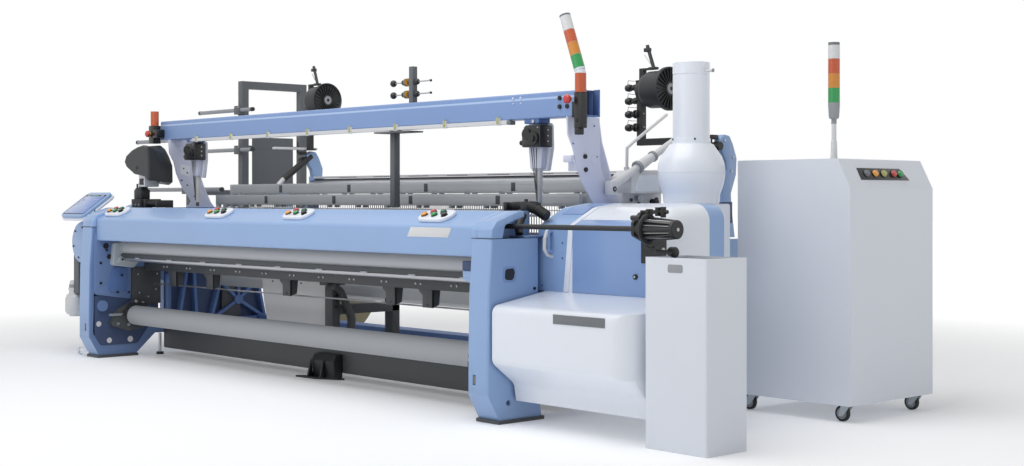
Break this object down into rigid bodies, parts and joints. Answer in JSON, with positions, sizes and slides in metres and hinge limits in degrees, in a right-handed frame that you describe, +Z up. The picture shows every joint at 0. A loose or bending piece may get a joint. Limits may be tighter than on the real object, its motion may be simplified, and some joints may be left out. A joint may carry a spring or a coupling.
{
  "type": "power loom",
  "caption": "Wide shuttleless power loom with covered front beam, rapier wheels, warp beam, yarn drums, free-standing control cabinet and waste bin.",
  "frame": {"origin": "on the floor, under the middle of the outline of the loom with its creel stand, bin and cabinet", "axes": "+X to the weaver's right, along the loom's width; +Y from the weaver at the front to the warp beam at the back; +Z up"},
  "size_m": [6.825, 2.4349, 2.1221],
  "materials": {
    "blue_paint": "light blue enamel, slightly soiled at the foot",
    "deep_blue_paint": "blue enamel on castings inside the machine",
    "white_paint": "satin off-white enamel",
    "lilac_paint": "pale lilac-grey enamel",
    "grey_paint": "light grey powder coat",
    "dark_metal": "dark grey enamel",
    "steel": "ground steel",
    "aluminium": "anodised aluminium",
    "cast": "painted casting",
    "black_plastic": "black moulded plastic",
    "red_plastic": "red push head",
    "screen_plastic": "dark grey moulded case with a glass screen",
    "lamp_plastic": "coloured lamp lenses on a grey base",
    "rubber": "caster tread"
  },
  "bodies": {
    "loom": {"right_frame": "blue_paint", "left_frame": "blue_paint", "frame_feet": "dark_metal", "front_crossbeam": "dark_metal", "rear_crossbeam": "deep_blue_paint", "centre_stand": "cast", "breast_beam": "dark_metal", "front_cover": "blue_paint", "cover_end_caps": "blue_paint", "button_pods": "white_paint", "roller_brackets": "cast", "back_rest_arms": "blue_paint", "overhead_beam": "blue_paint", "uprights": "lilac_paint", "lamp_rail": "dark_metal", "selvage_devices": "dark_metal", "beam_posts": "dark_metal", "signal_lamps": "lamp_plastic", "weft_hood": "black_plastic", "terminal_bracket": "dark_metal", "left_guards": "blue_paint", "rapier_cover": "blue_paint", "upper_cover": "white_paint", "drive_cover": "white_paint", "extraction_duct": "white_paint", "shed_linkage": "cast", "creel_stand": "dark_metal", "drum_masts": "dark_metal", "waste_bracket": "white_paint", "waste_bin": "grey_paint", "cabinet": "grey_paint", "cabinet_beacon": "lamp_plastic", "main_motor": "deep_blue_paint"},
    "take_up": {"take_up_roller": "aluminium"},
    "press": {"press_roller": "steel"},
    "cloth": {"cloth_roller": "steel"},
    "warp": {"warp_beam": "steel"},
    "back_rest": {"back_rest_roller": "steel"},
    "sley": {"sley": "dark_metal", "reed": "steel"},
    "heald_1": {"heald_frame_1": "aluminium"},
    "heald_2": {"heald_frame_2": "aluminium"},
    "heald_3": {"heald_frame_3": "aluminium"},
    "heald_4": {"heald_frame_4": "aluminium"},
    "left_drum": {"left_drum": "black_plastic"},
    "right_drum": {"right_drum": "black_plastic"},
    "waste": {"waste_roller": "black_plastic"},
    "terminal": {"terminal": "screen_plastic"},
    "right_knob": {"right_stop_knob": "red_plastic"},
    "left_knob": {"left_stop_knob": "red_plastic"},
    "right_rapier": {"right_rapier_wheel": "steel"},
    "left_rapier": {"left_rapier_wheel": "steel"},
    "caster_1": {"caster_fork_1": "steel"},
    "caster_roll_1": {"caster_wheel_1": "rubber"},
    "caster_2": {"caster_fork_2": "steel"},
    "caster_roll_2": {"caster_wheel_2": "rubber"},
    "caster_3": {"caster_fork_3": "steel"},
    "caster_roll_3": {"caster_wheel_3": "rubber"},
    "caster_4": {"caster_fork_4": "steel"},
    "caster_roll_4": {"caster_wheel_4": "rubber"}
  },
  "joints": [
    {"name": "take_up_spin", "type": "hinge", "parent": "loom", "child": "take_up", "pos_m": [-0.0425, -0.927, 0.765], "axis": [1, 0, 0], "continuous": true},
    {"name": "press_spin", "type": "hinge", "parent": "loom", "child": "press", "pos_m": [-0.0425, -0.972, 0.68441], "axis": [1, 0, 0], "continuous": true},
    {"name": "cloth_spin", "type": "hinge", "parent": "loom", "child": "cloth", "pos_m": [-0.0425, -0.907, 0.29], "axis": [1, 0, 0], "continuous": true},
    {"name": "warp_spin", "type": "hinge", "parent": "loom", "child": "warp", "pos_m": [-0.0425, 0.818, 0.425], "axis": [1, 0, 0], "continuous": true},
    {"name": "back_rest_spin", "type": "hinge", "parent": "loom", "child": "back_rest", "pos_m": [-0.0425, 0.658, 1.2], "axis": [1, 0, 0], "continuous": true},
    {"name": "sley_beat", "type": "hinge", "parent": "loom", "child": "sley", "pos_m": [-0.0425, -0.542, 0.62], "axis": [1, 0, 0], "range_deg": [0, 13]},
    {"name": "heald_lift_1", "type": "slide", "parent": "loom", "child": "heald_1", "axis": [0, 0, 1], "range_m": [0, 0.075]},
    {"name": "heald_lift_2", "type": "slide", "parent": "loom", "child": "heald_2", "axis": [0, 0, 1], "range_m": [0, 0.075]},
    {"name": "heald_lift_3", "type": "slide", "parent": "loom", "child": "heald_3", "axis": [0, 0, 1], "range_m": [-0.075, 0]},
    {"name": "heald_lift_4", "type": "slide", "parent": "loom", "child": "heald_4", "axis": [0, 0, 1], "range_m": [-0.075, 0]},
    {"name": "left_drum_spin", "type": "hinge", "parent": "loom", "child": "left_drum", "pos_m": [-2.0025, 0.618, 1.85], "axis": [1, 0, 0], "continuous": true},
    {"name": "right_drum_spin", "type": "hinge", "parent": "loom", "child": "right_drum", "pos_m": [1.4625, 0.618, 1.75], "axis": [1, 0, 0], "continuous": true},
    {"name": "waste_spin", "type": "hinge", "parent": "loom", "child": "waste", "pos_m": [2.4575, -1.042, 0.96496], "axis": [1, 0, 0], "continuous": true},
    {"name": "terminal_tilt", "type": "hinge", "parent": "loom", "child": "terminal", "pos_m": [-2.4425, -1.002, 1.01], "axis": [1, 0, 0], "range_deg": [-20, 15]},
    {"name": "right_knob_push", "type": "slide", "parent": "loom", "child": "right_knob", "axis": [0, 1, 0], "range_m": [0, 0.006], "stiffness_N_per_m": 800},
    {"name": "left_knob_push", "type": "slide", "parent": "loom", "child": "left_knob", "axis": [0, 1, 0], "range_m": [0, 0.006], "stiffness_N_per_m": 800},
    {"name": "right_rapier_turn", "type": "hinge", "parent": "loom", "child": "right_rapier", "pos_m": [2.3975, -0.622, 0.79], "axis": [0, 1, 0], "range_deg": [-235, 235]},
    {"name": "left_rapier_turn", "type": "hinge", "parent": "loom", "child": "left_rapier", "pos_m": [-2.4825, -0.622, 0.79], "axis": [0, 1, 0], "range_deg": [-235, 235]},
    {"name": "caster_swivel_1", "type": "hinge", "parent": "loom", "child": "caster_1", "pos_m": [2.6175, 0.188, 0.08], "axis": [0, 0, 1], "continuous": true},
    {"name": "caster_spin_1", "type": "hinge", "parent": "caster_1", "child": "caster_roll_1", "pos_m": [2.5915, 0.188, 0.04], "axis": [0, 1, 0], "continuous": true},
    {"name": "caster_swivel_2", "type": "hinge", "parent": "loom", "child": "caster_2", "pos_m": [3.1975, 0.188, 0.08], "axis": [0, 0, 1], "continuous": true},
    {"name": "caster_spin_2", "type": "hinge", "parent": "caster_2", "child": "caster_roll_2", "pos_m": [3.1715, 0.188, 0.04], "axis": [0, 1, 0], "continuous": true},
    {"name": "caster_swivel_3", "type": "hinge", "parent": "loom", "child": "caster_3", "pos_m": [2.6175, 0.798, 0.08], "axis": [0, 0, 1], "continuous": true},
    {"name": "caster_spin_3", "type": "hinge", "parent": "caster_3", "child": "caster_roll_3", "pos_m": [2.5915, 0.798, 0.04], "axis": [0, 1, 0], "continuous": true},
    {"name": "caster_swivel_4", "type": "hinge", "parent": "loom", "child": "caster_4", "pos_m": [3.1975, 0.798, 0.08], "axis": [0, 0, 1], "continuous": true},
    {"name": "caster_spin_4", "type": "hinge", "parent": "caster_4", "child": "caster_roll_4", "pos_m": [3.1715, 0.798, 0.04], "axis": [0, 1, 0], "continuous": true}
  ],
  "couplings": [
    {"joint": "press_spin", "follows": "take_up_spin", "ratio": -4.4118},
    {"joint": "left_rapier_turn", "follows": "right_rapier_turn", "ratio": -1}
  ]
}
